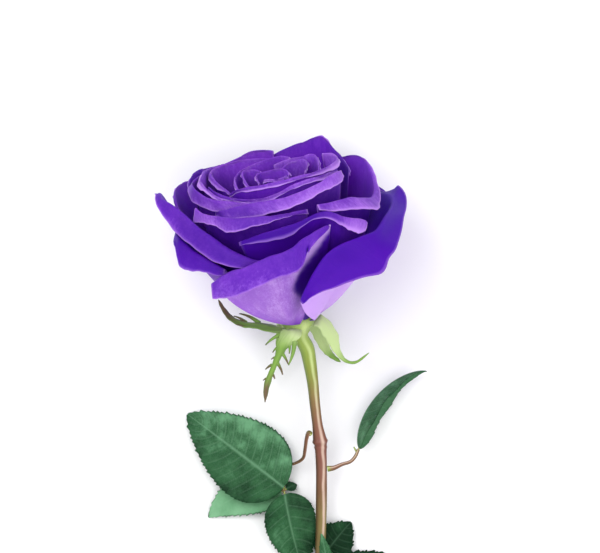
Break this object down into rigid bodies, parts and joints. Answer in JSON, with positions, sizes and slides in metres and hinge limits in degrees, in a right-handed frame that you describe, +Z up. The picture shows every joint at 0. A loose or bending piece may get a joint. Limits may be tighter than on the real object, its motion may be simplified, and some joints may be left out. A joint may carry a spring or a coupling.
{
  "type": "rose flower",
  "caption": "Cut double rose with overlapping rolled petals around a tight spiral heart, sepals, serrated compound leaves and a stem, lying on its side.",
  "frame": {"origin": "centre of the bounding box on the surface that the flower lies on", "axes": "+Y along the stem from its cut end to the bloom, +Z up from the surface it lies on, +X to the right seen from above"},
  "size_m": [0.108, 0.1936, 0.097],
  "materials": {
    "petal": "satin, fine lengthwise veins",
    "sepal": "matte",
    "leaf": "waxy, veined",
    "stem": "waxy, finely ridged"
  },
  "bodies": {
    "root": {"leaflet_left_end": "leaf", "leaflet_left_lower": "leaf", "leaflet_left_small": "leaf", "leaflet_left_under": "leaf", "leaflet_low_front": "leaf", "leaflet_low_right": "leaf", "leaflet_low_upper": "leaf", "leaflet_right": "leaf", "petal_back_left": "petal", "petal_back_peak": "petal", "petal_back_shoulder": "petal", "petal_first_band": "petal", "petal_front_roll": "petal", "petal_heart_01": "petal", "petal_heart_02": "petal", "petal_heart_03": "petal", "petal_heart_04": "petal", "petal_heart_05": "petal", "petal_heart_06": "petal", "petal_heart_07": "petal", "petal_heart_08": "petal", "petal_inner_front": "petal", "petal_left_back": "petal", "petal_left_low": "petal", "petal_left_roll": "petal", "petal_left_shoulder": "petal", "petal_right_flap": "petal", "petal_right_outer": "petal", "petal_right_roll": "petal", "petal_second_band": "petal", "petal_second_front": "petal", "petal_under_left": "petal", "petal_under_right": "petal", "petiole_left": "stem", "petiole_low": "stem", "petiole_right": "stem", "sepal_front": "sepal", "sepal_left": "sepal", "sepal_right": "sepal", "sepal_under_left": "sepal", "sepal_under_right": "sepal", "stem": "stem"}
  },
  "joints": []
}
